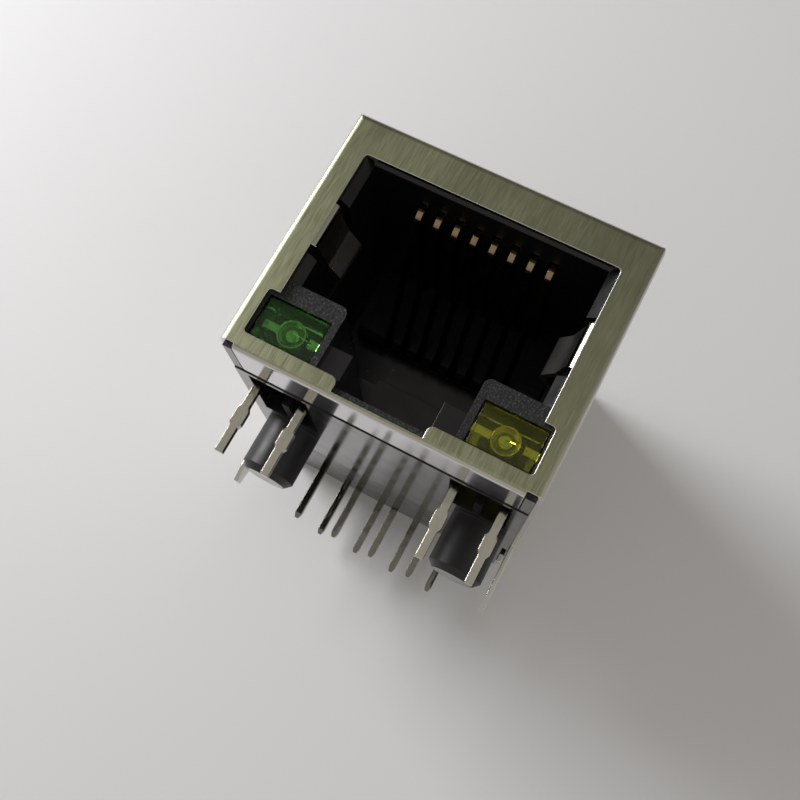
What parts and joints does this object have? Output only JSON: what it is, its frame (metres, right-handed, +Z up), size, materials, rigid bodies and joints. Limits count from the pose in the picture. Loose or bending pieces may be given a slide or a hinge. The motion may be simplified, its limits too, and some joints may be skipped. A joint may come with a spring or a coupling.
{
  "type": "rj45 board jack",
  "caption": "Shielded modular jack for a circuit board, latch slot down, with gold contacts, a green and a yellow lamp, grounding springs and locating pegs.",
  "frame": {"origin": "on the board's surface, midway between the two locating pegs", "axes": "+Y from the mating face to the rear, +Z up from the board, +X to the right seen from the mating side"},
  "size_m": [0.016, 0.0213, 0.0172],
  "materials": {
    "shield_plate": "nickel-plated stamping: grained face, smoother sides",
    "cover_plate": "nickel-plated sheet, satin",
    "black_moulding": "black moulded plastic, smooth walls and a spark-eroded grain on the lamp housings",
    "insert_moulding": "black moulded plastic, fine grain",
    "contact_gold": "gold over nickel, bright",
    "green_lens": "clear tinted resin, unlit dark green",
    "yellow_lens": "clear tinted resin, unlit dark yellow",
    "lead_tin": "bright tin plate",
    "chip_face": "semiconductor chip, glossy",
    "bond_gold": "fine gold wire",
    "pin_tin": "tin plate over nickel",
    "base_moulding": "black moulded plastic",
    "board_laminate": "green solder mask on glass laminate",
    "core_ferrite": "sintered ferrite, matt dark grey",
    "winding_enamel": "enamelled copper wire",
    "resistor_glaze": "black glaze on ceramic",
    "capacitor_ceramic": "fired ceramic, satin brown"
  },
  "bodies": {
    "root": {"shield": "shield_plate", "rear_cover": "cover_plate", "housing": "black_moulding", "contact_insert": "insert_moulding", "contact_1": "contact_gold", "contact_2": "contact_gold", "contact_3": "contact_gold", "contact_4": "contact_gold", "contact_5": "contact_gold", "contact_6": "contact_gold", "contact_7": "contact_gold", "contact_8": "contact_gold", "green_lens": "green_lens", "green_cup_lead": "lead_tin", "green_post_lead": "lead_tin", "green_chip": "chip_face", "green_bond_wire": "bond_gold", "yellow_lens": "yellow_lens", "yellow_cup_lead": "lead_tin", "yellow_post_lead": "lead_tin", "yellow_chip": "chip_face", "yellow_bond_wire": "bond_gold", "signal_pin_1": "pin_tin", "signal_pin_2": "pin_tin", "signal_pin_3": "pin_tin", "signal_pin_4": "pin_tin", "signal_pin_5": "pin_tin", "signal_pin_6": "pin_tin", "signal_pin_7": "pin_tin", "signal_pin_8": "pin_tin", "pin_base": "base_moulding", "filter_board": "board_laminate", "transformer_core_left": "core_ferrite", "transformer_core_right": "core_ferrite", "transformer_winding_left": "winding_enamel", "transformer_winding_right": "winding_enamel", "choke_core_left": "core_ferrite", "choke_core_right": "core_ferrite", "choke_winding_left": "winding_enamel", "choke_winding_right": "winding_enamel", "resistor_1": "resistor_glaze", "resistor_2": "resistor_glaze", "resistor_3": "resistor_glaze", "resistor_4": "resistor_glaze", "line_capacitor": "capacitor_ceramic"}
  },
  "joints": []
}
